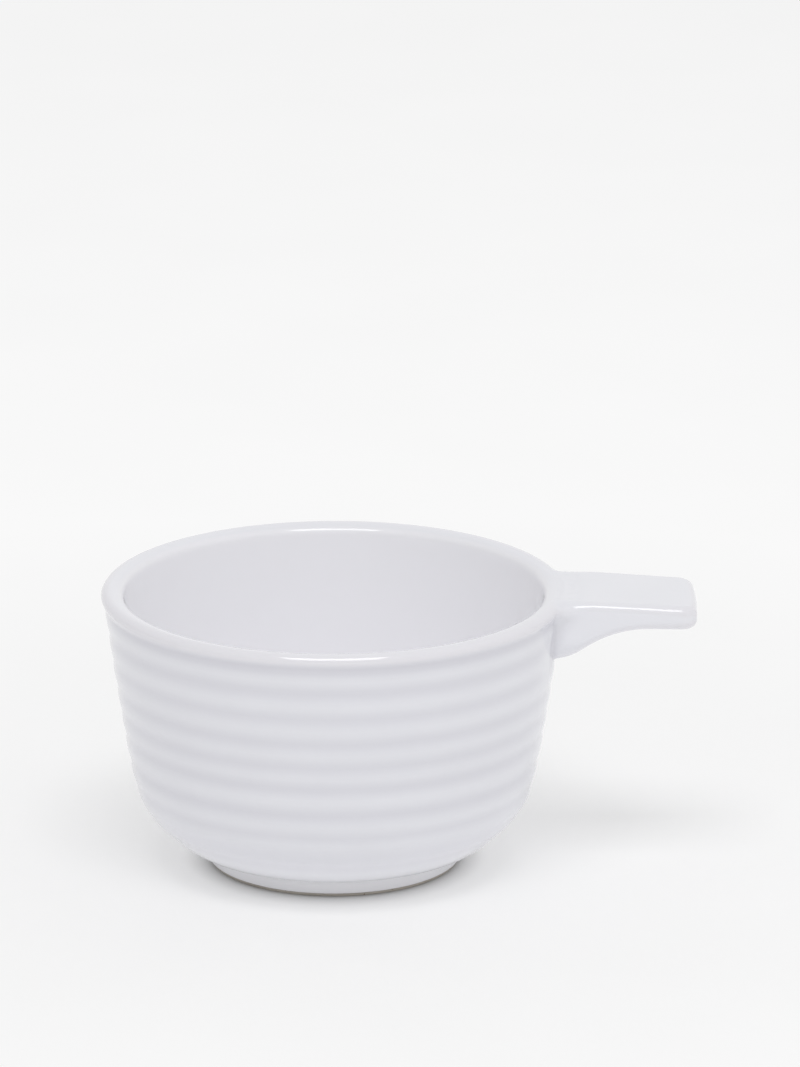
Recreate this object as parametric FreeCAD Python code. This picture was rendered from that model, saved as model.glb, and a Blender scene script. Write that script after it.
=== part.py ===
import FreeCAD, Part
import math
import os

from FreeCAD import Vector

# A white glazed stoneware shaving mug: a ribbed bowl on a foot ring, with one solid stub handle.
# It is fired in one piece of ware, and its sub-parts follow how it is made: the thrown bowl, the
# turned foot ring, the handle with the slip that joins it, and the glaze coats that cover them.
# Millimetres. The bowl's axis is Z, the table is z = 0 and the handle points along +X.

# Driving dimensions of the glazed surface.
GLAZE = 0.35                    # thickness of every glaze coat
RIM_HEIGHT = 67.3               # top of the lip above the table
RIM_RADIUS = 55.0               # outside of the rim bead
CREST_RADIUS = 53.4             # where the lip is highest
LIP_THICKNESS = 5.4
BEAD_HEIGHT = 66.0              # where the rim bead is widest
LIP_OUTER_RISE = 0.38           # the arcs of the lip's outer rounding and of the bead below it
BEAD_RISE = 0.3
LIP_TOP_RISE = 0.19             # the lip's top slopes gently inwards from its crest
LIP_CORNER = (50.5, 66.55)      # where that slope meets the tighter inner corner
LIP_CORNER_RISE = 0.18
LIP_INNER_HEIGHT = 65.14        # where the inner corner ends in the wall

# The soft grooves that divide the throwing ribs, as (radius, height), from the lowest up to the
# one under the rim bead, and how far each rib stands out from the line between its two grooves.
GROOVES = ((42.4, 11.5), (45.0, 14.9), (46.95, 20.4), (48.2, 26.1), (49.4, 32.9),
           (50.3, 38.6), (51.2, 44.5), (52.15, 51.0), (53.0, 57.5), (53.95, 63.85))
RIB_RISES = (0.45, 0.70, 0.60, 0.55, 0.50, 0.50, 0.50, 0.50, 0.50)

SHOULDER = (35.1, 5.7)          # where the belly turns under the bowl
SHOULDER_RISE = 0.45
FOOT_ROOT = (30.2, 4.6)         # where the foot ring's wall leaves the bowl
FOOT_ROOT_RISE = 0.08

# The foot ring, glazed inside and outside down to a bare band along its bearing edge.
FOOT_RADIUS = 29.8
FOOT_INNER_RADIUS = 26.3
BARE_BAND = 0.9
FOOT_EDGE_ROUNDING = 0.5
RECESS_DEPTH = 2.9              # the base stands this far above the table inside the foot
RECESS_FILLET = 0.8

# The inside of the bowl: a flat floor, one large corner rounding and a straight tapered wall.
FLOOR_HEIGHT = 9.0
FLOOR_CORNER_ROUNDING = 18.0
INNER_TAPER_DEG = 8.3

# The stub handle: a flat tongue that droops slightly to its tip and deepens at its root.
HANDLE_TIP = 85.4
HANDLE_ROOT = 50.6              # inside the wall, so that the tongue reaches the clay everywhere
HANDLE_HALF_WIDTH = 14.0
HANDLE_TIP_HALF_WIDTH = 13.4
HANDLE_TOP = 67.2               # just under the crest of the lip
HANDLE_LEVEL_END = 59.0         # the top is level to here and droops from here on
HANDLE_TIP_TOP = 65.4
HANDLE_TIP_BOTTOM = 60.0
HANDLE_THIN_START = (74.0, 60.3)
HANDLE_WEB_MIDDLE = (58.2, 55.8)
HANDLE_ROOT_BOTTOM = 53.0
HANDLE_ROOT_RISE = 0.7
HANDLE_WEB_RISE = -1.35
HANDLE_CORNER_ROUNDING = 3.6
HANDLE_TOP_ROUNDING = 2.1
HANDLE_BOTTOM_ROUNDING = 2.0
TIP_BOW = 0.25                  # the tip face bows outwards this much

BEYOND = 20.0                   # how far cutting solids reach past what they cut


# Outlines are chains of stations (u, v, rise). The clay lies on the left of the way along the
# chain, and rise is how far the arc to the next station stands out to the right, 0 for a line.

def end_directions(start, end):
    """The directions, in radians, in which the arc between two stations sets off and arrives."""
    length = math.hypot(end[0] - start[0], end[1] - start[1])
    chord = math.atan2(end[1] - start[1], end[0] - start[0])
    half_turn = 2 * math.atan(2 * start[2] / length)
    return chord - half_turn, chord + half_turn


def inset(stations, depth):
    """The same chain moved to the left by depth, with its corners mitred."""
    moved = []
    for i, (u, v, rise) in enumerate(stations):
        arriving = end_directions(stations[i - 1], stations[i])[1] if i else None
        leaving = end_directions(stations[i], stations[i + 1])[0] if i + 1 < len(stations) else None
        arriving = leaving if arriving is None else arriving
        leaving = arriving if leaving is None else leaving
        turn = (leaving - arriving + math.pi) % (2 * math.pi) - math.pi
        middle = arriving + turn / 2
        shift = depth / math.cos(turn / 2)
        moved.append((u - math.sin(middle) * shift, v + math.cos(middle) * shift, rise))
    return keep_turns(stations, moved)


def keep_turns(stations, moved):
    """The moved chain with each arc turning through the same angle as before."""
    scaled = []
    for i, (u, v, rise) in enumerate(moved):
        if i + 1 < len(moved):
            before = math.dist(stations[i][:2], stations[i + 1][:2])
            rise = rise * math.dist((u, v), moved[i + 1][:2]) / before
        scaled.append((u, v, rise))
    return scaled


def chain_edges(stations, place):
    """Lines and arcs through the stations, with place turning (u, v) into a point in space."""
    edges = []
    for start, end in zip(stations, stations[1:]):
        first, last = place(*start[:2]), place(*end[:2])
        length = math.dist(start[:2], end[:2])
        if start[2] == 0:
            edges.append(Part.LineSegment(first, last).toShape())
            continue
        out = start[2] / length
        top = place((start[0] + end[0]) / 2 + (end[1] - start[1]) * out,
                    (start[1] + end[1]) / 2 - (end[0] - start[0]) * out)
        edges.append(Part.Arc(first, top, last).toShape())
    return edges


def closed_face(stations, place):
    """A flat face inside a chain that is closed by a line from its last station to its first."""
    last = (*stations[-1][:2], 0)
    return Part.Face(Part.Wire(chain_edges([*stations[:-1], last, stations[0]], place)))


def on_wheel(radius, height):
    """A point of a turned profile, drawn opposite the handle."""
    return Vector(-radius, 0, height)


def turned(stations):
    """The solid that a closed profile sweeps round the bowl's axis."""
    return closed_face(stations, on_wheel).revolve(Vector(0, 0, 0), Vector(0, 0, 1), 360)


def quarter_rise(radius):
    """The rise of a quarter circle."""
    return radius * (1 - math.cos(math.pi / 4))


def outer_profile():
    """The glazed outside, from the bare band of the foot up to the crest of the lip."""
    stations = [(FOOT_RADIUS, BARE_BAND, 0), (*FOOT_ROOT, FOOT_ROOT_RISE), (*SHOULDER, SHOULDER_RISE)]
    stations += [(*groove, rise) for groove, rise in zip(GROOVES, RIB_RISES)]
    return [*stations, (*GROOVES[-1], BEAD_RISE), (RIM_RADIUS, BEAD_HEIGHT, LIP_OUTER_RISE),
            (CREST_RADIUS, RIM_HEIGHT, 0)]


def inner_profile():
    """The glazed inside, from the crest of the lip down to the middle of the floor."""
    taper = math.radians(INNER_TAPER_DEG)
    lip_radius = RIM_RADIUS - LIP_THICKNESS
    corner_height = FLOOR_HEIGHT + FLOOR_CORNER_ROUNDING * (1 - math.sin(taper))
    corner_radius = lip_radius - (LIP_INNER_HEIGHT - corner_height) * math.tan(taper)
    floor_radius = corner_radius - FLOOR_CORNER_ROUNDING * math.cos(taper)
    half_turn = (math.pi / 2 - taper) / 2
    corner_rise = FLOOR_CORNER_ROUNDING * (1 - math.cos(half_turn))
    return [(CREST_RADIUS, RIM_HEIGHT, LIP_TOP_RISE), (*LIP_CORNER, LIP_CORNER_RISE),
            (lip_radius, LIP_INNER_HEIGHT, 0), (corner_radius, corner_height, -corner_rise),
            (floor_radius, FLOOR_HEIGHT, 0), (0, FLOOR_HEIGHT, 0)]


def base_profile():
    """The glazed underside inside the foot ring, from the middle out to the bare band."""
    return [(0, RECESS_DEPTH, 0),
            (FOOT_INNER_RADIUS - RECESS_FILLET, RECESS_DEPTH, -quarter_rise(RECESS_FILLET)),
            (FOOT_INNER_RADIUS, RECESS_DEPTH - RECESS_FILLET, 0),
            (FOOT_INNER_RADIUS, BARE_BAND, 0)]


def bearing_edge(inner_radius, outer_radius):
    """The bare clay between the two ends of the glaze, with the flat that the mug stands on."""
    corner = FOOT_EDGE_ROUNDING
    return [(inner_radius, corner, quarter_rise(corner)), (inner_radius + corner, 0, 0),
            (outer_radius - corner, 0, quarter_rise(corner)), (outer_radius, corner, 0)]


def coat(glazed, clay):
    """The glaze between a stretch of the glazed profile and the clay under it."""
    back = [(u, v, -rise) for (u, v, _), (_, _, rise) in zip(clay[::-1], [*clay[-2::-1], (0, 0, 0)])]
    return turned([*glazed[:-1], (*glazed[-1][:2], 0), *back])


def clay_parts(clay, base_clay):
    """The bowl and its foot ring, parted where the foot meets the underside of the base."""
    edge = bearing_edge(base_clay[-1][0], clay[0][0])
    ware = turned([*clay, *base_clay, *edge])
    under_base = Part.makeCylinder(RIM_RADIUS, BEYOND + RECESS_DEPTH + GLAZE, Vector(0, 0, -BEYOND))
    return ware.cut(under_base), ware.common(under_base)


def filled_bowl(outer):
    """Everything inside the glazed outside, up to the height of the rim."""
    return turned([*outer[:-1], (*outer[-1][:2], 0), (0, RIM_HEIGHT, 0), (0, BARE_BAND, 0)])


def handle_plan():
    """The handle seen from above, along one side, round the tip and back along the other."""
    corner = HANDLE_CORNER_ROUNDING
    half_tip = HANDLE_TIP_HALF_WIDTH
    side = [(HANDLE_ROOT, -HANDLE_HALF_WIDTH, 0), (HANDLE_TIP - corner, -half_tip, quarter_rise(corner)),
            (HANDLE_TIP, -half_tip + corner, TIP_BOW)]
    return [*side, (HANDLE_TIP, half_tip - corner, quarter_rise(corner)),
            (HANDLE_TIP - corner, half_tip, 0), (HANDLE_ROOT, HANDLE_HALF_WIDTH, 0)]


def handle_side():
    """The handle seen from the side, out along its underside and back along its top."""
    past_tip = HANDLE_TIP + BEYOND
    run = HANDLE_TIP - HANDLE_LEVEL_END
    top_slope = (HANDLE_TOP - HANDLE_TIP_TOP) / run
    thin_u, thin_v = HANDLE_THIN_START
    bottom_slope = (thin_v - HANDLE_TIP_BOTTOM) / (HANDLE_TIP - thin_u)
    return [(HANDLE_ROOT, HANDLE_ROOT_BOTTOM, HANDLE_ROOT_RISE), (*HANDLE_WEB_MIDDLE, HANDLE_WEB_RISE),
            (thin_u, thin_v, 0), (past_tip, HANDLE_TIP_BOTTOM - BEYOND * bottom_slope, 0),
            (past_tip, HANDLE_TIP_TOP - BEYOND * top_slope, 0),
            (HANDLE_LEVEL_END, HANDLE_TOP, 0), (HANDLE_ROOT, HANDLE_TOP, 0)]


def long_edges(solid, upward):
    """The edges along the top (upward 1) or the underside (-1) of the tongue, and round its tip."""
    found = []
    for edge in solid.Edges:
        middle = edge.valueAt((edge.FirstParameter + edge.LastParameter) / 2)
        normals = []
        for face in solid.ancestorsOfType(edge, Part.Face):
            normals.append(face.normalAt(*face.Surface.parameter(middle)))
        if min(abs(n.z) for n in normals) > 0.3 or middle.x < HANDLE_ROOT + GLAZE:
            continue
        if max(n.z * upward for n in normals) > 0.5:
            found.append(edge)
    return found


def tongue(depth):
    """The solid handle form, with its surface set depth inside the glazed one."""
    plan = inset(handle_plan(), depth)
    side = inset(handle_side(), depth)
    seen_from_above = closed_face(plan, lambda u, v: Vector(u, v, 0))
    seen_from_side = closed_face(side, lambda u, v: Vector(u, -BEYOND, v))
    upright = seen_from_above.extrude(Vector(0, 0, RIM_HEIGHT + BEYOND))
    across = seen_from_side.extrude(Vector(0, 2 * BEYOND, 0))
    form = upright.common(across)
    form = form.makeFillet(HANDLE_TOP_ROUNDING - depth, long_edges(form, 1))
    return form.makeFillet(HANDLE_BOTTOM_ROUNDING - depth, long_edges(form, -1))


def export(node, shape):
    """Write one sub-part as its own STEP file."""
    solids = shape.Solids
    if not shape.isValid() or not solids:
        raise ValueError(node + " is not a valid solid")
    (solids[0] if len(solids) == 1 else Part.Compound(solids)).exportStep("parts/" + node + ".step")
    print(node, len(solids), "solid", round(shape.Volume), "mm3")


def main():
    os.makedirs("parts", exist_ok=True)
    outer, inner = outer_profile(), inner_profile()
    clay = inset([*outer, *inner[1:]], GLAZE)
    crest = len(outer) - 1
    base = base_profile()
    base_clay = inset(base, GLAZE)

    bowl_body, foot_ring = clay_parts(clay, base_clay)
    outside_coat = coat(outer, clay[:crest + 1])
    bowl = filled_bowl(outer)
    handle_clay = tongue(GLAZE)

    export("bowl_body", bowl_body)
    export("foot_ring", foot_ring)
    export("handle", handle_clay.cut(bowl))
    export("handle_slip_seam", handle_clay.common(outside_coat))
    export("outer_glaze", outside_coat.cut(handle_clay))
    export("handle_glaze", tongue(0).cut(handle_clay).cut(bowl))
    export("inner_glaze", coat(inner, clay[crest:]))
    export("base_glaze", coat(base, base_clay))


main()
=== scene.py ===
import math

import bpy
import numpy as np
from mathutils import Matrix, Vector

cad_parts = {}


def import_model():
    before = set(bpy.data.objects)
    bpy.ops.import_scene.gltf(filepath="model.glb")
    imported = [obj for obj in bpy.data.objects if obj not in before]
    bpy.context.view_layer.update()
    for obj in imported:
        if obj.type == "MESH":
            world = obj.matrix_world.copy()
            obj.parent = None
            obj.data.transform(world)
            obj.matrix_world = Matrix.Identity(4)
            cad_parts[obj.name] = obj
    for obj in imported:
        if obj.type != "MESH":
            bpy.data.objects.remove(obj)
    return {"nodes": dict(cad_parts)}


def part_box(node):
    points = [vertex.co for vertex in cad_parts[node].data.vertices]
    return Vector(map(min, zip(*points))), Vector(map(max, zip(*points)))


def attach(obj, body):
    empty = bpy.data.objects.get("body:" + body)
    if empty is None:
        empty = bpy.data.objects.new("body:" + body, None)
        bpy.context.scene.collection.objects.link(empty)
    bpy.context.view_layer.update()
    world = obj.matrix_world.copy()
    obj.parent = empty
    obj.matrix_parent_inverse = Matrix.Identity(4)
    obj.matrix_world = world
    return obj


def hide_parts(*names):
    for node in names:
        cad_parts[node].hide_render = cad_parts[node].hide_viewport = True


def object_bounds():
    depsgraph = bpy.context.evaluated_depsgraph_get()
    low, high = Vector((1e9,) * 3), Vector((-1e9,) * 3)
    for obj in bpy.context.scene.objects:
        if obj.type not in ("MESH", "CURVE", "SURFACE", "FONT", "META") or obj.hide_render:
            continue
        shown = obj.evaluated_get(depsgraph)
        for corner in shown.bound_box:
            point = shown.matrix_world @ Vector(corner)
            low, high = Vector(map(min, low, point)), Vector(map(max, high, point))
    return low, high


# A white glazed shaving mug. The clay bowl, foot ring and handle come from the CAD frame. The
# glaze that covers them is one continuous skin, and it is modelled here: it runs down the ribbed
# outside, over the lip, down into the bowl and out over the handle.
# The frame's own axes: the bowl's axis is Z, the table z = 0, the handle along +X. Objects are
# in metres; shapes are worked out in millimetres.

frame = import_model()
cad_low, cad_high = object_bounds()
MM = 0.001

# ------------------------------------------------------------------ sizes, millimetres

# From the frame.
RIM_RADIUS = -cad_low.x / MM
RIM_HEIGHT = cad_high.z / MM
HANDLE_TIP = cad_high.x / MM
BARE_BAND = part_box("outer_glaze")[0].z / MM       # the glaze stops this far above the table
RECESS_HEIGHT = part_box("base_glaze")[1].z / MM    # the clay over the glazed underside
LINER_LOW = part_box("inner_glaze")[0].z / MM       # the clay under the bowl's glazed floor
FOOT_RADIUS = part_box("foot_ring")[1].y / MM

GLAZE = 0.35                     # the thickness of every coat
FLOOR_HEIGHT = LINER_LOW + GLAZE
LIP_THICKNESS = 5.4
LIP_RADIUS = RIM_RADIUS - LIP_THICKNESS           # where the lip ends and the inner wall begins
CREST_RADIUS = RIM_RADIUS - 1.6                   # where the lip is highest

# Soft grooves between the throwing ribs, (radius, height), from the lowest to the one under the
# rim bead, and how far each rib stands out from the line between its grooves.
GROOVES = [(42.4, 11.5), (45.0, 14.9), (46.95, 20.4), (48.2, 26.1), (49.4, 32.9),
           (50.3, 38.6), (51.2, 44.5), (52.15, 51.0), (53.0, 57.5), (53.95, 63.85)]
RIB_RISES = [0.45, 0.70, 0.60, 0.55, 0.50, 0.50, 0.50, 0.50, 0.50]

# The rim's bead, the lip and the foot. Triples are (radius, height, how far the arc that follows
# stands out), and a rise is such an arc's.
BEAD_HEIGHT = 65.6
BEAD_RISE = 0.2
LIP_OUTER_RISE = 0.11
LIP_BEND = (RIM_RADIUS - 0.36, 66.45, 0.12)
LIP_TOP_RISE = 0.19
LIP_CORNER = (50.5, 66.55, 0.18)
LIP_INNER_HEIGHT = 65.14
FOOT_ROOT = (30.2, 4.3, 0.08)
SHOULDER = (35.1, 5.35, 0.45)
INNER_TAPER = math.radians(8.3)  # how much the inner wall leans
FLOOR_CORNER = 18.0              # radius of the bend from the inner wall to the floor
FOOT_INNER_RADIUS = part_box("base_glaze")[1].y / MM - GLAZE
RECESS_FILLET = 0.8
SOFTNESS = 1.1                   # how far the glaze rounds off the corners it flows over
LIP_SOFTNESS = 0.25              # and how far on the lip, where it is drawn thin
LIP_BEGINS = (63.4, 65.0)        # heights over which the one gives way to the other

# Beside the handle the ribs die away.
RIB_LENGTH = 2.2                 # the outline rounded off by this much has no ribs left
PLAIN_FROM = (48, 52)            # heights over which they start to
PLAIN_TO = (62.5, 65)            # and stop, under the lip
RIBS_FADE = (16.5, 25.0)         # distances from the handle's middle plane over which they fade
FIELD_LOW = 44                   # nothing of the handle lies lower than this

# The handle. A pair is a value at its root and one further out, or low down and at the lip, and
# an _OVER pair is the distances out, or the heights, between which one gives way to the other.
HANDLE_HALF_WIDTH = 14.0
HANDLE_TIP_HALF_WIDTH = 13.4
HANDLE_CORNER = 3.6              # radius of the tip's corners, seen from above
TIP_BOW = 0.25                   # how far the tip falls back where they begin
HANDLE_TOP = 67.2
HANDLE_LEVEL_END = 59.0          # where the top turns down,
HANDLE_TIP_TOP = 65.4            # and how high it is at the tip
DROOP_BEND = 3                   # how gently the top turns down
UNDERSIDE_SOFTNESS = 0.9
TOP_EDGE = (3.0, 2.1)
TOP_EDGE_OVER = (54, 62)
UNDER_EDGE = (4.5, 2.0)
UNDER_EDGE_OVER = (52, 60)
ROOT_RADIUS = (50.8, 53.0)       # how near the axis the tongue reaches
ROOT_RADIUS_OVER = (60, 64)
FLOW = (2.2, 6.0)                # how far glaze and slip fill its corner with the bowl
FLOW_OVER = (61, 64)
FLOW_BEGINS = (52.3, 54.0)       # distances from the axis over which they start to

# The middle line of the handle's underside, (distance out, height, how far the arc that follows
# bulges down). It sets out inside the wall and runs on past the tip.
HANDLE_UNDERSIDE = [(44.0, 50.6, 0), (50.6, 52.3, 0.7), (58.2, 55.2, -1.35), (74.0, 60.3, 0),
                    (95.0, 59.75, 0)]

# The glaze's mesh. Pairs are for the ribbed outside and for the plain inside.
FINE = 0.05                      # spacing of the worked-out outlines
RING_SAG = (0.012, 0.042)        # how far the mesh may stand off the form between two rings
RING_MOST = (1.15, 2.35)         # and how far apart these may be
RING_LEAST = 0.36
INSIDE_OVER = (3, 15)            # distances past the crest between the two
BEND_REACH = 10                  # points each way over which an outline's bend is evened out
PATCH_HALF = 13.0                # half the width of the patch where the handle leaves
PATCH_LOW = 51.6                 # and its lower edge
GROWTH = 1.07                    # from one growing gap or step to the next

# Gaps between columns and steps along the handle. Only their proportions count, because each set
# is fitted to its length.
GAP_OVER = (0.9, 0.42)           # columns over the handle, from its middle to its side
GAP_BESIDE = 0.45                # the first one beside it, from which they grow
GAP_MOST = 1.75                  # to this
COLUMNS_BESIDE = 97              # in this many, to the middle of the far side
ROOT_STEP = 0.3                  # the first step along the handle, from which they grow,
ROOT_STEPS = 18                  # in this many,
MIDDLE_STEP = 0.98               # then even steps,
MIDDLE_STEPS = 16                # this many,
TIP_STEP = (0.9, 0.4)            # and from the first to the second of these
TIP_STEPS = 12                   # in this many, up to the tip

# The edge where the glaze stops, and the underside.
BEAD_RINGS = 6                   # rings in the rounded edge where the glaze stops
BEAD_SPAN = 2.0                  # the length of the outline that this edge can lie on
BASE_COLUMNS = 160               # the underside's columns,
BASE_CORNER = (0.6, 3.0)         # the stretch of its outline where its rings lie close,
BASE_STEP = (0.25, 1.5)          # and the distances between them there and past it

# How the glaze lies after firing, with painted shade and painted light; curvatures in 1/mm.
POOL_SHADE_BY = 0.014                # a hollow's curvature that pools the glaze well, with painted shade
POOL_SHADE_OVER = (5, 9)               # heights over which the pools, with painted shade, start
THIN_SHADE_OVER = (0.08, 0.30)         # curvatures of an edge that start and finish thinning it, with painted shade
POOL_SHADE_BLURS = 4                   # how far the pools, with painted shade, spread over the mesh,
EDGE_BLURS = 8                   # and the thin edges, with their painted shade
JOINT_RADII = (54.2, 55.2)       # past these distances from the axis, where the handle joins,
JOINT_OUT = (51.5, 53.0)         # or these along the handle, the pools and their painted shade thin out
JOINT_POOL_SHADE = 0.25              # to this share
BELLY_BEGINS = (8.5, 11)         # heights over which glaze that gathers low on the belly, with painted shade, begins
BELLY_ENDS = (14.5, 19)          # and ends,
BELLY_RADIUS = 38                # outside this radius,
BELLY_POOL_SHADE = 0.5               # and how far it counts as a pool with painted shade
FOOT_LIGHT_OVER = (4.5, 6.5)           # heights over which the painted light on the foot ends
INSIDE_LIGHT_OVER = 1.5                 # width of the lip's inner edge over which the painted light inside the bowl begins


# ------------------------------------------------------------------ outlines

def smooth_step(value, low, high):
    """0 below low, 1 above high and an S between them."""
    t = np.clip((value - low) / (high - low), 0, 1)
    return t * t * (3 - 2 * t)


def graded(value, over, ends):
    """From one end to the other as value goes over a range."""
    return ends[0] + (ends[1] - ends[0]) * smooth_step(value, *over)


def even_points(points, step):
    """The same line with its points step apart."""
    way = np.concatenate([[0], np.cumsum(np.hypot(*np.diff(points, axis=0).T))])
    marks = np.linspace(0, way[-1], round(way[-1] / step) + 1)
    return np.column_stack([np.interp(marks, way, points[:, k]) for k in (0, 1)])


def arc_chain(stations):
    """A fine line through (u, v, rise) stations; rise is how far the arc that follows a station
    stands out to the right of the way."""
    pieces = [np.array([stations[0][:2]])]
    for (u0, v0, rise), (u1, v1, _) in zip(stations, stations[1:]):
        start, way = np.array([u0, v0]), np.array([u1 - u0, v1 - v0])
        length = math.hypot(*way)
        t = np.linspace(0, 1, max(2, round(length / FINE)) + 1)[1:, None]
        bulge = 0
        if rise:
            radius = length ** 2 / (8 * abs(rise)) + abs(rise) / 2
            bulge = np.sqrt(radius ** 2 - ((t - 0.5) * length) ** 2) - radius + abs(rise)
            bulge = math.copysign(1, rise) * bulge
        pieces.append(start + way * t + bulge * np.array([way[1], -way[0]]) / length)
    return even_points(np.concatenate(pieces), FINE)


def softened(line, spread):
    """The line with its corners rounded off, its two ends kept in place."""
    reach = round(4 * spread / FINE)
    weights = np.exp(-0.5 * (np.arange(-reach, reach + 1) * FINE / spread) ** 2)
    weights /= weights.sum()
    before = 2 * line[0] - line[reach:0:-1]
    after = 2 * line[-1] - line[-2:-reach - 2:-1]
    padded = np.concatenate([before, line, after])
    return np.column_stack([np.convolve(padded[:, k], weights, "valid") for k in (0, 1)])


def quarter_rise(radius):
    """The rise of a quarter circle."""
    return radius * (1 - math.cos(math.pi / 4))


def outward_normals(line):
    """Unit vectors to the right of the way along the line."""
    way = np.gradient(line, axis=0)
    way /= np.hypot(*way.T)[:, None]
    return np.column_stack([way[:, 1], -way[:, 0]])


def bowl_outline():
    """Radius and height of the glazed surface, from the foot's bare band up the outside, over
    the lip and down to the middle of the floor."""
    corner_top = FLOOR_HEIGHT + FLOOR_CORNER * (1 - math.sin(INNER_TAPER))
    corner_radius = LIP_RADIUS - (LIP_INNER_HEIGHT - corner_top) * math.tan(INNER_TAPER)
    floor_radius = corner_radius - FLOOR_CORNER * math.cos(INNER_TAPER)
    corner_rise = FLOOR_CORNER * (1 - math.cos((math.pi / 2 - INNER_TAPER) / 2))
    stations = [(FOOT_RADIUS + GLAZE, BARE_BAND, 0), FOOT_ROOT, SHOULDER]
    stations += [(*groove, rise) for groove, rise in zip(GROOVES, RIB_RISES)]
    stations += [(*GROOVES[-1], BEAD_RISE), (RIM_RADIUS, BEAD_HEIGHT, LIP_OUTER_RISE), LIP_BEND,
                 (CREST_RADIUS, RIM_HEIGHT, LIP_TOP_RISE), LIP_CORNER,
                 (LIP_RADIUS, LIP_INNER_HEIGHT, 0), (corner_radius, corner_top, -corner_rise),
                 (floor_radius, FLOOR_HEIGHT, 0), (0, FLOOR_HEIGHT, 0)]
    line = arc_chain(stations)
    soft, crisp = softened(line, SOFTNESS), softened(line, LIP_SOFTNESS)
    return soft + (crisp - soft) * smooth_step(line[:, 1:], *LIP_BEGINS)


def row_marks(line, crest):
    """Places along the outline for the rings of the mesh: close where it bends, and wider inside
    the bowl, where it is plain."""
    normals = outward_normals(line)
    bend = np.hypot(*np.gradient(normals, axis=0).T) / FINE
    count = 2 * BEND_REACH + 1
    bend = np.convolve(np.pad(bend, BEND_REACH, "edge"), np.ones(count) / count, "valid")
    past_crest = (np.arange(len(line)) - crest) * FINE
    sag = graded(past_crest, INSIDE_OVER, RING_SAG)
    step = np.sqrt(8 * sag / np.maximum(bend, 1e-6))
    step = np.clip(step, RING_LEAST, graded(past_crest, INSIDE_OVER, RING_MOST))
    rows = np.cumsum(FINE / step)
    wanted = np.linspace(rows[0], rows[-1], round(rows[-1]) + 1)
    return np.interp(wanted, rows, np.arange(len(line))).round().astype(int)


# ------------------------------------------------------------------ the bowl and handle as fields

class BowlField:
    """Signed distance to the glazed surface of the upper bowl, below 0 under it. Beside the handle
    the surface has no ribs."""

    EVERY = 2                    # only every second point of the outline is looked at
    BATCH = 2000                 # points worked out at a time

    def __init__(self, line):
        height = line[:, 1:]
        share = smooth_step(height, *PLAIN_FROM) * (1 - smooth_step(height, *PLAIN_TO))
        plain = line + (softened(line, RIB_LENGTH) - line) * share
        keep = np.flatnonzero(line[:, 1] > FIELD_LOW)[::self.EVERY]
        self.lines = [(form[keep], outward_normals(form)[keep]) for form in (line, plain)]

    def at(self, p):
        """The distance and its direction of increase at each point."""
        radius = np.hypot(p[:, 0], p[:, 1])
        near = np.empty(len(p), int)
        ribbed = self.lines[0][0]
        for first in range(0, len(p), self.BATCH):
            part = slice(first, first + self.BATCH)
            away = (radius[part, None] - ribbed[:, 0]) ** 2 + (p[part, 2, None] - ribbed[:, 1]) ** 2
            near[part] = away.argmin(1)
        fade = np.where(p[:, 0] > 0, 1 - smooth_step(np.abs(p[:, 1]), *RIBS_FADE), 0)
        value, across = 0, 0
        for share, (line, normals) in zip((1 - fade, fade), self.lines):
            gap = np.column_stack([radius, p[:, 2]]) - line[near]
            value = value + share * (gap * normals[near]).sum(1)
            across = across + share[:, None] * normals[near]
        unit = p[:, :2] / radius[:, None]
        return value, np.column_stack([unit * across[:, :1], across[:, 1]])


def round_meet(a, b, radius):
    """Distance to the part that two forms share, with the edge between them rounded."""
    a, b = a + radius, b + radius
    return np.minimum(np.maximum(a, b), 0) + np.hypot(np.maximum(a, 0), np.maximum(b, 0)) - radius


class HandleField:
    """Signed distance to the glazed surface of the handle's tongue, below 0 under it."""

    NUDGE = 0.02                 # how far apart its slope is taken

    def __init__(self):
        self.under = softened(arc_chain(HANDLE_UNDERSIDE), UNDERSIDE_SOFTNESS)
        self.under_slope = np.gradient(self.under[:, 1]) / np.gradient(self.under[:, 0])

    def half_width(self, x):
        """Half the width, tapering a little to the tip."""
        taper = (HANDLE_HALF_WIDTH - HANDLE_TIP_HALF_WIDTH) / (HANDLE_TIP - CREST_RADIUS)
        return HANDLE_HALF_WIDTH - taper * (x - CREST_RADIUS)

    def top(self, x):
        """Height and slope of the top, level at first and then drooping to the tip."""
        slope = (HANDLE_TOP - HANDLE_TIP_TOP) / (HANDLE_TIP - HANDLE_LEVEL_END)
        past = (x - HANDLE_LEVEL_END) / DROOP_BEND
        ramp = DROOP_BEND * np.logaddexp(0, past)
        return HANDLE_TOP - slope * ramp, -slope / (1 + np.exp(-past))

    def bottom(self, x):
        """Height and slope of the underside."""
        return (np.interp(x, self.under[:, 0], self.under[:, 1]),
                np.interp(x, self.under[:, 0], self.under_slope))

    def value(self, p):
        """The distance at each point."""
        x, y, z = p.T
        tip = HANDLE_TIP - TIP_BOW * (y / (HANDLE_TIP_HALF_WIDTH - HANDLE_CORNER)) ** 2
        plan = round_meet(np.abs(y) - self.half_width(x), x - tip, HANDLE_CORNER)
        top, top_slope = self.top(x)
        bottom, bottom_slope = self.bottom(x)
        above = (z - top) / np.hypot(1, top_slope)
        below = (bottom - z) / np.hypot(1, bottom_slope)
        form = np.maximum(round_meet(plan, above, graded(x, TOP_EDGE_OVER, TOP_EDGE)),
                          round_meet(plan, below, graded(x, UNDER_EDGE_OVER, UNDER_EDGE)))
        return np.maximum(form, graded(z, ROOT_RADIUS_OVER, ROOT_RADIUS) - np.hypot(x, y))

    def at(self, p):
        """The distance and its direction of increase at each point."""
        value = self.value(p)
        slope = np.column_stack([self.value(p + self.NUDGE * axis) - value for axis in np.eye(3)])
        slope /= np.maximum(np.linalg.norm(slope, axis=1), 1e-9)[:, None]
        return value, slope


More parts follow.
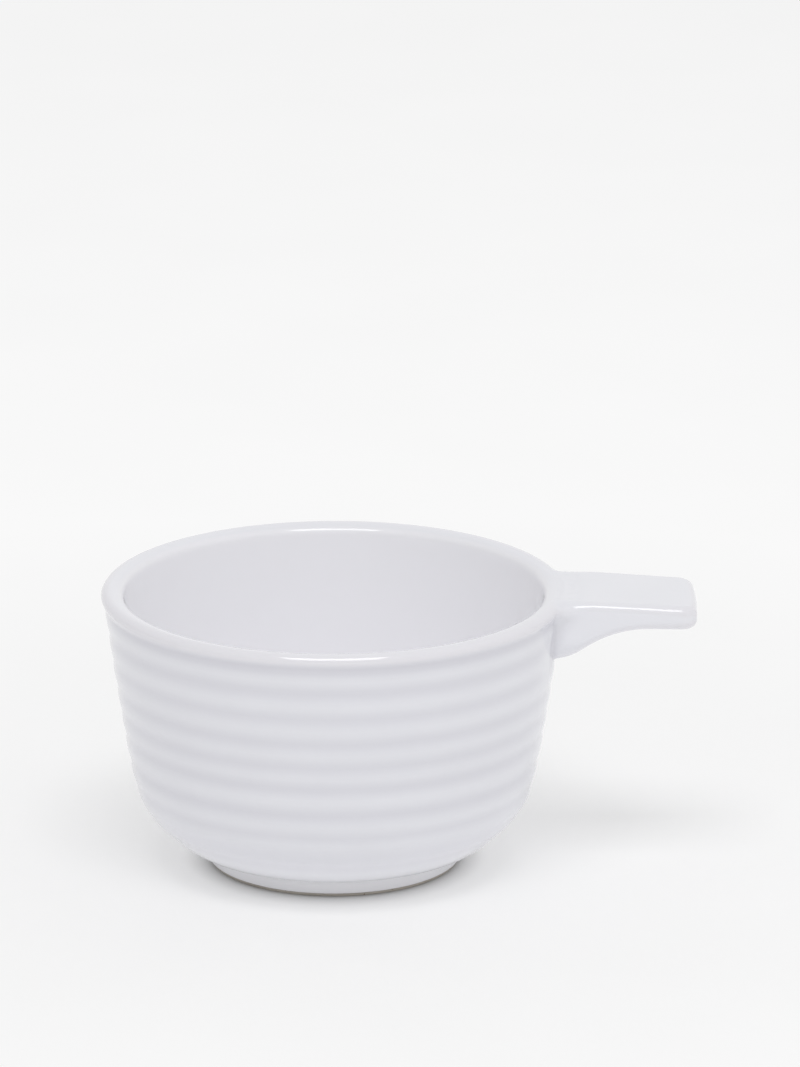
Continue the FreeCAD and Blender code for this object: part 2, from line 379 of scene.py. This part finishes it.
def joined(p, bowl, handle):
    """The bowl and handle run together: a wide flow at the rim, a tight crease below it."""
    a, a_way = bowl.at(p)
    b, b_way = handle.at(p)
    radius = np.hypot(p[:, 0], p[:, 1])
    reach = graded(p[:, 2], FLOW_OVER, FLOW) * smooth_step(radius, *FLOW_BEGINS)
    reach = np.maximum(reach * np.clip(1 - (a_way * b_way).sum(1), 0, 1), 1e-3)
    share = np.clip(0.5 + 0.5 * (b - a) / reach, 0, 1)
    value = share * a + (1 - share) * b - reach * share * (1 - share)
    return value, share[:, None] * a_way + (1 - share[:, None]) * b_way


def pulled_on(p, bowl, handle, times):
    """The points moved onto the joined surface."""
    least_slope = 0.2
    for _ in range(times):
        value, way = joined(p, bowl, handle)
        p = p - way * (value / np.maximum((way ** 2).sum(1), least_slope))[:, None]
    return p


# ------------------------------------------------------------------ the glaze's mesh

def column_angles(half_hole):
    """Angles of the mesh's columns round the bowl: the first half_hole each way span the handle,
    crowded at its two sides, and the rest spread out towards the far side."""
    over = np.linspace(*GAP_OVER, half_hole)
    over *= PATCH_HALF / over.sum()
    beyond = np.minimum(GAP_BESIDE * GROWTH ** np.arange(COLUMNS_BESIDE), GAP_MOST)
    beyond *= (math.pi * CREST_RADIUS - PATCH_HALF) / beyond.sum()
    half = np.cumsum(np.concatenate([over, beyond])) / CREST_RADIUS
    return np.concatenate([[0], half[:-1], [math.pi], (2 * math.pi - half[:-1])[::-1]])


def station_marks():
    """Fractions of the way out along the handle: close at its root and at its tip."""
    root = ROOT_STEP * GROWTH ** np.arange(ROOT_STEPS)
    middle = np.full(MIDDLE_STEPS, MIDDLE_STEP)
    tip = np.linspace(*TIP_STEP, TIP_STEPS)
    steps = np.concatenate([root, middle, tip])
    return np.cumsum(steps) / steps.sum()


def turned_grid(rows, angles):
    """Rings of points round the axis, one ring to each (radius, height) row."""
    return np.stack([rows[:, :1] * np.cos(angles), rows[:, :1] * np.sin(angles),
                     np.repeat(rows[:, 1:], len(angles), 1)], axis=-1)


def quads(grid):
    """The faces between the rows and columns of a grid of vertex numbers."""
    corners = (grid[:-1, :-1], grid[:-1, 1:], grid[1:, 1:], grid[1:, :-1])
    return np.stack(corners, axis=-1).reshape(-1, 4)


def closed_rows(grid):
    """A grid of vertex numbers with its first column repeated at the end."""
    return np.concatenate([grid, grid[:, :1]], axis=1)


def turned_faces(rings, pole):
    """The quads between rings, by ring and column, and the triangles round the pole, which are
    quads that repeat it."""
    around = closed_rows(rings)
    walls = quads(around).reshape(len(rings) - 1, -1, 4)
    last = around[-1]
    return walls, np.column_stack([last[:-1], last[1:], np.full((len(last) - 1, 2), pole)])


def bead_rows(line, side):
    """Rows where the glaze swells from nothing at the bare band, and its thickness there. The
    line sets off upwards from the band; side is 1 with the clay towards the axis and -1 with it
    away from the axis."""
    turn = np.linspace(0, math.pi / 2, BEAD_RINGS)
    height = BARE_BAND + GLAZE * (1 - np.cos(turn))
    start = line[:round(BEAD_SPAN / FINE)]
    radius = np.interp(height, start[:, 1], start[:, 0]) - side * GLAZE * (1 - np.sin(turn))
    return np.column_stack([radius, height]), GLAZE * np.sin(turn)


def ring_edge(patch):
    """The rim of a patch of vertex numbers, along its first row, up, back and down again."""
    return np.concatenate([patch[0], patch[1:-1, -1], patch[-1, ::-1], patch[-2:0:-1, 0]])


def edge_sides(tall, wide):
    """The four sides of such a rim, as slices, for a patch of tall rows and wide columns."""
    up = wide + tall - 2
    back = up + wide
    return slice(0, wide), slice(wide, up), slice(up, back), slice(back, None)


class GlazeSurface:
    """The outside of the glaze: rings round the bowl with a patch left out where the handle
    leaves, loops that run out along the handle from that patch's rim, and a cap at its tip."""

    HALF_PATCH = 20              # columns each way from the handle's middle
    FAR = 40                     # this many sides away from the handle and further, nothing moves,
    CLEAR_RADIUS = 51.5          # nor nearer the axis than this, under the lip
    PULLS = (10, 2)              # times that the points are pulled on, at first and later
    EASED = 12                   # the mesh is evened out within this many sides of the handle
    EASINGS = 16                 # and this many times

    def __init__(self):
        line = bowl_outline()
        crest = int(line[:, 1].argmax())
        marks = row_marks(line, crest)
        bead, self.bead_depth = bead_rows(line, 1)
        clear = line[marks, 1] > bead[-1, 1] + GLAZE / 2
        self.rows = np.concatenate([bead, line[marks[clear]]])
        self.crest_row = int(self.rows[:, 1].argmax())
        self.low_row = int(np.abs(self.rows[:self.crest_row, 1] - PATCH_LOW).argmin())
        self.bowl, self.handle = BowlField(line), HandleField()

        grid = turned_grid(self.rows[:-1], column_angles(self.HALF_PATCH))
        self.columns = grid.shape[1]
        self.rings = np.arange(grid.shape[0] * self.columns).reshape(grid.shape[:2])
        self.pole = self.rings.size
        self.points = np.concatenate([grid.reshape(-1, 3), [[0, 0, self.rows[-1, 1]]]])
        self.patch = np.take(self.rings[self.low_row:self.crest_row + 1],
                             np.arange(-self.HALF_PATCH, self.HALF_PATCH + 1), 1, mode="wrap")
        self.loops = self.handle_loops()
        self.tip = self.filled(self.loops[-1])
        self.settle()
        self.root = self.filled(self.loops[0])

    def added(self, points):
        """Take in more points and return their vertex numbers."""
        first = len(self.points)
        self.points = np.concatenate([self.points, points])
        return np.arange(first, len(self.points))

    def handle_loops(self):
        """Loops along the handle, from the rim of the patch to the tip."""
        rim = ring_edge(self.patch)
        start = self.points[rim]
        low, high = self.rows[self.low_row, 1], self.rows[self.crest_row, 1]
        up = (start[:, 2] - low) / (high - low)
        across = start[:, 1] / start[:, 1].max()
        _, left, _, right = edge_sides(*self.patch.shape)
        across[left] = 1
        across[right] = -1
        loops = [rim]
        for mark in station_marks():
            x = (1 - mark) * start[:, 0] + mark * HANDLE_TIP
            bottom, top = self.handle.bottom(x)[0], self.handle.top(x)[0]
            z = bottom + up * (top - bottom)
            loops.append(self.added(np.column_stack([x, across * self.handle.half_width(x), z])))
        return np.array(loops)

    def filled(self, loop):
        """A grid of vertices with the loop as its rim and new ones inside it."""
        tall, wide = self.patch.shape
        bottom, left, top, right = edge_sides(tall, wide)
        cap = np.empty((tall, wide), int)
        cap[0], cap[-1] = loop[bottom], loop[top][::-1]
        cap[1:-1, -1], cap[1:-1, 0] = loop[left], loop[right][::-1]
        low, high = self.points[cap[0, 1:-1]], self.points[cap[-1, 1:-1]]
        share = np.linspace(0, 1, tall)[1:-1, None, None]
        inner = low + share * (high - low)
        cap[1:-1, 1:-1] = self.added(inner.reshape(-1, 3)).reshape(tall - 2, wide - 2)
        return cap

    def faces(self):
        """All the faces, as vertex numbers; the triangles round the pole repeat it."""
        walls, middle = turned_faces(self.rings, self.pole)
        keep = np.ones(walls.shape[:2], bool)
        keep[self.low_row:self.crest_row, :self.HALF_PATCH] = False
        keep[self.low_row:self.crest_row, -self.HALF_PATCH:] = False
        along = quads(closed_rows(self.loops))
        return np.concatenate([walls[keep], middle, along, quads(self.tip)])

    def thickness(self):
        """How thick the glaze is under each point."""
        depth = np.full(len(self.points), GLAZE)
        depth[:len(self.bead_depth) * self.columns] = np.repeat(self.bead_depth, self.columns)
        return depth

    def painted_light_share(self):
        """Painted light: 1 inside the bowl and on the foot, where the colour is painted lighter
        against the shade that falls there, and 0 on the rest."""
        painted_light = np.zeros(len(self.points))
        inner = np.arange(len(self.rings)) > self.crest_row
        radius, height = self.rows[:-1].T
        rows = np.where(inner, 1 - smooth_step(radius, LIP_RADIUS, LIP_RADIUS + INSIDE_LIGHT_OVER),
                        1 - smooth_step(height, *FOOT_LIGHT_OVER))
        painted_light[:self.pole + 1] = np.append(np.repeat(rows, self.columns), 1)
        return painted_light

    def settle(self):
        """Pull the points round the handle onto the joined surface and even out their mesh."""
        first, later = self.PULLS
        ends = edge_ends(self.faces())
        count = len(self.points)
        steps = np.full(count, self.FAR + 1)
        steps[self.pole + 1:] = 0
        steps[self.loops[0]] = 0
        for _ in range(self.FAR):
            np.minimum.at(steps, ends[:, 1], steps[ends[:, 0]] + 1)
        radius = np.hypot(self.points[:, 0], self.points[:, 1])
        clear = (radius > self.CLEAR_RADIUS) | (self.points[:, 2] > LIP_BEGINS[1])
        moving = (steps < self.FAR) & clear
        ease = 0.5 * np.clip(1 - steps / self.EASED, 0, 1)[:, None] * moving[:, None]
        self.points[moving] = pulled_on(self.points[moving], self.bowl, self.handle, first)
        for _ in range(self.EASINGS):
            middle = mean_round(self.points[ends[:, 1]], ends, count)
            self.points += ease * (middle - self.points)
            self.points[moving] = pulled_on(self.points[moving], self.bowl, self.handle, later)
        self.points[:, 2] = np.minimum(self.points[:, 2], RIM_HEIGHT)


def edge_ends(faces):
    """Both ways along every side of the faces, as pairs of vertex numbers."""
    ends = np.concatenate([faces[:, [k, (k + 1) % 4]] for k in range(4)])
    ends = ends[ends[:, 0] != ends[:, 1]]
    return np.unique(np.concatenate([ends, ends[:, ::-1]]), axis=0)


def mean_round(values, ends, count):
    """The mean over each vertex's neighbours of a value given for every side."""
    values = values.reshape(len(ends), -1)
    total = np.column_stack([np.bincount(ends[:, 0], column, count) for column in values.T])
    return total / np.maximum(np.bincount(ends[:, 0], minlength=count), 1)[:, None]


def vertex_normals(points, faces):
    """Outward unit normals of a closed or open quad mesh."""
    p = points[faces]
    across = np.cross(p[:, 2] - p[:, 0], p[:, 3] - p[:, 1])
    normals = np.zeros_like(points)
    for k in range(4):
        np.add.at(normals, faces[:, k], across)
    return normals / np.maximum(np.linalg.norm(normals, axis=1), 1e-12)[:, None]


def blurred(values, ends, times):
    """The values at the vertices, spread over the mesh."""
    for _ in range(times):
        values = 0.5 * values + 0.5 * mean_round(values[ends[:, 1]], ends, len(values))[:, 0]
    return values


def glaze_flow(points, faces, normals):
    """Where the glaze creeps to in the kiln, with painted shade laid on it, from 0 to 1 at each
    vertex: how far it pools in the hollows and low on the belly, and how far it thins on the sharp
    edges."""
    ends = edge_ends(faces)
    way = points[ends[:, 1]] - points[ends[:, 0]]
    turn = normals[ends[:, 1]] - normals[ends[:, 0]]
    bend = -(way * turn).sum(1) / np.maximum((way ** 2).sum(1), 1e-9)
    bend = mean_round(bend, ends, len(points))[:, 0]
    hollow = blurred(np.maximum(bend, 0), ends, POOL_SHADE_BLURS)
    # Sharp edges: thin glaze with painted shade.
    edge = blurred(np.maximum(-bend, 0), ends, EDGE_BLURS)
    radius, height = np.hypot(points[:, 0], points[:, 1]), points[:, 2]
    joint = smooth_step(radius, *JOINT_RADII) + smooth_step(points[:, 0], *JOINT_OUT)
    # Painted shade as well as pooled glaze: in the hollows, and lower down on the belly.
    pooled_and_shade = (1 - np.exp(-hollow / POOL_SHADE_BY)) * smooth_step(height, *POOL_SHADE_OVER)
    pooled_and_shade *= 1 - (1 - JOINT_POOL_SHADE) * np.clip(joint, 0, 1)
    belly = smooth_step(height, *BELLY_BEGINS) * (1 - smooth_step(height, *BELLY_ENDS))
    pooled_and_shade = np.maximum(pooled_and_shade, BELLY_POOL_SHADE * belly * (radius > BELLY_RADIUS))
    return pooled_and_shade, smooth_step(edge, *THIN_SHADE_OVER)


def new_piece(name, points, faces, material):
    """A smooth-shaded mesh object in metres; a face that repeats a vertex is a triangle."""
    used = np.unique(faces)
    renumber = np.zeros(len(points), int)
    renumber[used] = np.arange(len(used))
    mesh = bpy.data.meshes.new(name)
    mesh.from_pydata((points[used] * MM).tolist(), [],
                     [tuple(dict.fromkeys(face)) for face in renumber[faces].tolist()])
    mesh.shade_smooth()
    mesh.materials.append(material)
    piece = bpy.data.objects.new(name, mesh)
    bpy.context.collection.objects.link(piece)
    return piece, used


def coat_piece(name, points, faces, thickness, painted_light_share, material):
    """A closed coat of glaze under the given outer surface, thinning to nothing where thickness
    does. How far it pools and thins, with painted shade, and where light is painted on it, are kept
    for the material."""
    normals = vertex_normals(points, faces)
    pooled_and_shade, thinned_and_shade = glaze_flow(points, faces, normals)
    layers = {"pooled_and_shade": pooled_and_shade, "thinned_and_shade": thinned_and_shade, "painted_light": painted_light_share}
    count = len(points)
    under = points - normals * thickness[:, None]
    back = faces[:, ::-1] + count
    shared = np.arange(2 * count)
    edge = np.flatnonzero(thickness == 0)
    shared[edge + count] = edge
    piece, used = new_piece(name, np.concatenate([points, under]),
                            shared[np.concatenate([faces, back])], material)
    for layer, values in layers.items():
        data = piece.data.attributes.new(layer, "FLOAT", "POINT").data
        data.foreach_set("value", np.concatenate([values, values])[used].astype(np.float32))
    return piece


def handle_clay_piece(surface, material):
    """The solid clay of the handle: its loops and tip set in by the glaze, and the root where it
    meets the clay of the bowl."""
    root = quads(surface.root)[:, ::-1]
    normals = vertex_normals(surface.points, surface.faces())
    inside = surface.root[1:-1, 1:-1].ravel()
    normals[inside] = -vertex_normals(surface.points, root)[inside]
    faces = np.concatenate([root, quads(closed_rows(surface.loops)), quads(surface.tip)])
    return new_piece("handle_clay", surface.points - normals * GLAZE, faces, material)[0]


def base_coat_piece(material):
    """The glaze of the underside, inside the foot ring."""
    wall, height = FOOT_INNER_RADIUS, RECESS_HEIGHT - GLAZE
    stations = [(wall, BARE_BAND, 0), (wall, height - RECESS_FILLET, quarter_rise(RECESS_FILLET)),
                (wall - RECESS_FILLET, height, 0), (0, height, 0)]
    line = softened(arc_chain(stations), SOFTNESS)
    bead, bead_depth = bead_rows(line, -1)
    begins, ends = (round(place / FINE) for place in BASE_CORNER)
    close, wide = (round(step / FINE) for step in BASE_STEP)
    last = len(line) - 1
    marks = np.concatenate([np.arange(begins, ends, close), np.arange(ends, last, wide), [last]])
    rows = np.concatenate([bead, line[marks]])
    angles = np.linspace(0, 2 * math.pi, BASE_COLUMNS, endpoint=False)
    grid = turned_grid(rows[:-1], angles)
    rings = np.arange(grid.shape[0] * len(angles)).reshape(grid.shape[:2])
    walls, middle = turned_faces(rings, rings.size)
    faces = np.concatenate([walls.reshape(-1, 4), middle])[:, ::-1]
    points = np.concatenate([grid.reshape(-1, 3), [[0, 0, rows[-1, 1]]]])
    thickness = np.full(len(points), GLAZE)
    thickness[:len(bead) * len(angles)] = np.repeat(bead_depth, len(angles))
    return coat_piece("base_coat", points, faces, thickness, np.zeros(len(points)), material)


# ------------------------------------------------------------------ materials

GLAZE_COLOUR = (0.872, 0.875, 0.92)
GLAZE_CLOUD = (0.86, 0.863, 0.908)
# Darker over sharp edges: thin glaze partly, painted shade partly.
GLAZE_THIN_SHADED = (0.85, 0.84, 0.88)
# Greyer in hollows and low on the belly: pooled glaze partly, painted shade partly.
GLAZE_POOLED_SHADED = (0.755, 0.752, 0.807)
# Lighter inside the bowl and on the foot: painted light.
GLAZE_PAINTED_LIGHT = (0.952, 0.948, 0.977)
# The clay's colours are darker than its own buff: painted shade for the dark line under the foot.
CLAY_AND_SHADE_COLOUR = (0.60, 0.56, 0.50)
CLAY_AND_SHADE_CLOUD = (0.52, 0.48, 0.425)
IRON_SPECK = (0.25, 0.17, 0.11)
FLOOR_COLOUR = (0.60, 0.60, 0.60)
FLOOR_CLOUD = (0.59, 0.59, 0.59)
FLOOR_GLOW = (0.365, 0.44)       # near the mug, dimmer there as painted shade, and far from it,
GLOW_OVER = (45, 280)            # and the distances from the axis, mm, between the two
PAINTED_SHADOW_OVER = (26.5, 37)         # distances from the axis, mm, over which the painted shadow under the mug fades out


class Shading:
    """A procedural material under construction, measured in metres of the object's own space."""

    def __init__(self, name):
        self.material = bpy.data.materials.new(name)
        self.material.use_nodes = True
        self.tree = self.material.node_tree
        self.shader = self.tree.nodes["Principled BSDF"]
        self.place = self.tree.nodes.new("ShaderNodeTexCoord").outputs["Object"]

    def add(self, kind, values=(), links=(), **settings):
        """A node with its settings, input values and incoming links, both by input name."""
        node = self.tree.nodes.new("ShaderNode" + kind)
        for name, value in settings.items():
            setattr(node, name, value)
        for name, value in dict(values).items():
            node.inputs[name].default_value = value
        for name, source in dict(links).items():
            self.tree.links.new(source, node.inputs[name])
        return node

    def noise(self, size, detail=2.0, stretch=(1, 1, 1)):
        """Noise from 0 to 1 with features about size millimetres across, longer along the axes
        where stretch is under 1."""
        place = self.add("VectorMath", {1: stretch}, {0: self.place}, operation="MULTIPLY")
        return self.add("TexNoise", {"Scale": 1 / (size * MM), "Detail": detail},
                        {"Vector": place.outputs["Vector"]}).outputs["Fac"]

    def spread(self, source, low, high, to_low=0.0, to_high=1.0):
        """The value from low to high spread over to_low to to_high, and held beyond them."""
        return self.add("MapRange", {"From Min": low, "From Max": high, "To Min": to_low,
                                     "To Max": to_high}, {"Value": source}).outputs["Result"]

    def mixed(self, share, first, second):
        """A colour between two, each given as a colour or as a node's output."""
        node = self.add("Mix", {}, {"Factor": share}, data_type="RGBA")
        for name, colour in (("A", first), ("B", second)):
            socket = [i for i in node.inputs if i.name == name and i.type == "RGBA"][0]
            if isinstance(colour, tuple):
                socket.default_value = (*colour, 1)
            else:
                self.tree.links.new(colour, socket)
        return [o for o in node.outputs if o.type == "RGBA"][0]

    def bump(self, height, depth, after=None):
        """A bump as deep as depth millimetres for a height of 1, over an earlier one."""
        links = {"Height": height}
        if after:
            links["Normal"] = after
        return self.add("Bump", {"Strength": 1.0, "Distance": depth * MM}, links).outputs["Normal"]

    def finish(self, **inputs):
        """Connect or set the shader's inputs, with spaces in their names written as _."""
        for name, value in inputs.items():
            socket = self.shader.inputs[name.replace("_", " ")]
            if isinstance(value, bpy.types.NodeSocket):
                self.tree.links.new(value, socket)
            else:
                socket.default_value = value
        return self.material


def glaze_material():
    """Glossy opaque white glaze: it pools greyer and cooler in hollows and low on the belly, partly
    as painted shade, pulls thin and a touch warmer and darker over edges, partly as painted shade,
    is painted lighter inside the bowl and on the foot, and shows faint mottling, an orange-peel
    surface and, under it, traces of the fine rings that throwing leaves."""
    s = Shading("white_glaze")
    mottle = s.spread(s.noise(size=14, detail=3), 0.35, 0.65)
    colour = s.mixed(mottle, GLAZE_COLOUR, GLAZE_CLOUD)
    # The colour, darkened as painted shade on edges, in hollows and low on the belly, and lightened
    # as painted light inside the bowl and on the foot.
    for layer, shade in (("thinned_and_shade", GLAZE_THIN_SHADED), ("pooled_and_shade", GLAZE_POOLED_SHADED), ("painted_light", GLAZE_PAINTED_LIGHT)):
        share = s.add("Attribute", attribute_name=layer).outputs["Fac"]
        colour = s.mixed(share, colour, shade)
    rings = s.bump(s.noise(size=1.3, stretch=(0.04, 0.04, 1)), depth=0.006)
    peel = s.bump(s.noise(size=1.8, detail=1), depth=0.003, after=rings)
    waves = s.bump(s.noise(size=9), depth=0.03, after=peel)
    gloss = s.spread(s.noise(size=5), 0.3, 0.7, to_low=0.03, to_high=0.05)
    return s.finish(Base_Color=colour, Roughness=gloss, IOR=1.6, Normal=waves)


def clay_material():
    """Bare fired stoneware, darker than its own buff as painted shade for the dark line under the
    foot: cloudy, with pores, fine turning lines and a few iron specks."""
    s = Shading("bisque_clay_and_shade")
    cloud = s.spread(s.noise(size=7, detail=4), 0.3, 0.7)
    colour = s.mixed(cloud, CLAY_AND_SHADE_COLOUR, CLAY_AND_SHADE_CLOUD)
    specks = s.spread(s.noise(size=0.8, detail=1), 0.70, 0.76)
    colour = s.mixed(specks, colour, IRON_SPECK)
    pores = s.bump(s.noise(size=0.5, detail=3), depth=0.03)
    tooling = s.bump(s.noise(size=0.9, stretch=(0.05, 0.05, 1)), depth=0.03, after=pores)
    dryness = s.spread(cloud, 0, 1, to_low=0.75, to_high=0.92)
    return s.finish(Base_Color=colour, Roughness=dryness, IOR=1.45, Normal=tooling)


def floor_material():
    """A light table's matt sheet: it glows softly, dimmer near the mug as painted shade and not at
    all under it as a painted shadow, and its surface has a fine tooth."""
    s = Shading("light_table")
    cloud = s.spread(s.noise(size=60, detail=3), 0.3, 0.7)
    colour = s.mixed(cloud, FLOOR_COLOUR, FLOOR_CLOUD)
    tooth = s.bump(s.noise(size=0.8, detail=3), depth=0.02)
    away = s.add("VectorMath", {}, {0: s.place}, operation="LENGTH").outputs["Value"]
    # Painted shadow: the glow fades out under the mug.
    unshadowed = s.spread(away, *(radius * MM for radius in PAINTED_SHADOW_OVER))
    unshadowed.node.interpolation_type = "SMOOTHSTEP"
    # Painted shade: the glow is dimmer near the mug.
    glow = s.spread(away, *(radius * MM for radius in GLOW_OVER), *FLOOR_GLOW)
    glow = s.add("Math", {}, {0: unshadowed, 1: glow}, operation="MULTIPLY").outputs["Value"]
    return s.finish(Base_Color=colour, Roughness=0.9, Specular_IOR_Level=0.0, Normal=tooth,
                    Emission_Color=(1, 1, 1, 1), Emission_Strength=glow)


glaze = glaze_material()
clay = clay_material()

surface = GlazeSurface()
skin = coat_piece("glaze_coat", surface.points, surface.faces(), surface.thickness(),
                  surface.painted_light_share(), glaze)
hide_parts("outer_glaze", "handle_glaze", "inner_glaze")
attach(skin, "root")

stub = handle_clay_piece(surface, clay)
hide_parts("handle", "handle_slip_seam")
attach(stub, "root")

base = base_coat_piece(glaze)
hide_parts("base_glaze")
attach(base, "root")

for node in ("bowl_body", "foot_ring"):
    for slot in bpy.data.objects[frame["nodes"][node].name].material_slots:
        slot.material = clay


# ------------------------------------------------------------------ floor, light and camera

# The studio: an even surround with soft lobes of light, (direction, narrowness, strength), and
# one wide softbox high over the front of the mug.
SURROUND = 0.435
LOBES = [((0, 0, 1), 2, 0.15), ((0, 1, 0), 2, 0.45), ((0, -1, 0), 2, 0.10), ((1, 0, 0), 2, 0.23)]
SOFTBOX_DISTANCE = 2.6
SOFTBOX_ELEVATION = math.radians(66)
SOFTBOX_HALF_ANGLES = (math.radians(16.5), math.radians(11))
SOFTBOX_WATTS = 22.0

# The photograph's viewing angle, seen from far off through a long lens.
CAMERA_PLACE = Vector((0, -1.9010, 0.6584))
CAMERA_AIM = Vector((0.0157, 0.0124, 0.0765))
CAMERA_LENS = 284.5
SENSOR_WIDTH = 36
FLOOR_HALF = 4.0


def floor():
    """The sheet that the mug stands on."""
    corners = [(-1, -1), (1, -1), (1, 1), (-1, 1)]
    mesh = bpy.data.meshes.new("floor")
    mesh.from_pydata([(x * FLOOR_HALF, y * FLOOR_HALF, 0) for x, y in corners], [], [(0, 1, 2, 3)])
    mesh.materials.append(floor_material())
    piece = bpy.data.objects.new("floor", mesh)
    bpy.context.collection.objects.link(piece)


def world():
    """The surround's light, which is worked out from its direction alone."""
    studio = bpy.data.worlds.new("studio")
    bpy.context.scene.world = studio
    studio.use_nodes = True
    tree = studio.node_tree
    way = tree.nodes.new("ShaderNodeTexCoord").outputs["Generated"]

    def maths(kind, operation, first, second):
        node = tree.nodes.new(kind)
        node.operation = operation
        for k, value in enumerate((first, second)):
            if isinstance(value, bpy.types.NodeSocket):
                tree.links.new(value, node.inputs[k])
            else:
                node.inputs[k].default_value = value
        return node.outputs["Value"]

    total = SURROUND
    for direction, narrowness, strength in LOBES:
        facing = maths("ShaderNodeVectorMath", "DOT_PRODUCT", way, direction)
        lobe = maths("ShaderNodeMath", "MAXIMUM", facing, 0)
        lobe = maths("ShaderNodeMath", "POWER", lobe, narrowness)
        lobe = maths("ShaderNodeMath", "MULTIPLY", lobe, strength)
        total = maths("ShaderNodeMath", "ADD", lobe, total)
    background = tree.nodes["Background"]
    background.inputs["Color"].default_value = (1, 1, 1, 1)
    tree.links.new(total, background.inputs["Strength"])


def softbox():
    """The wide light, which faces the mug."""
    sizes = [2 * SOFTBOX_DISTANCE * math.tan(half) for half in SOFTBOX_HALF_ANGLES]
    light = bpy.data.lights.new("softbox", "AREA")
    light.shape = "RECTANGLE"
    light.size, light.size_y = sizes
    light.energy = SOFTBOX_WATTS
    piece = bpy.data.objects.new("softbox", light)
    bpy.context.collection.objects.link(piece)
    way = Vector((0, -math.cos(SOFTBOX_ELEVATION), math.sin(SOFTBOX_ELEVATION)))
    piece.location = way * SOFTBOX_DISTANCE
    piece.rotation_euler = way.to_track_quat("Z", "Y").to_euler()


def camera():
    """The scene's camera."""
    data = bpy.data.cameras.new("camera")
    data.lens = CAMERA_LENS
    data.sensor_width = SENSOR_WIDTH
    piece = bpy.data.objects.new("camera", data)
    bpy.context.collection.objects.link(piece)
    piece.location = CAMERA_PLACE
    piece.rotation_euler = (CAMERA_AIM - CAMERA_PLACE).to_track_quat("-Z", "Y").to_euler()
    bpy.context.scene.camera = piece


floor()
world()
softbox()
camera()
bpy.context.scene.view_settings.view_transform = "Standard"
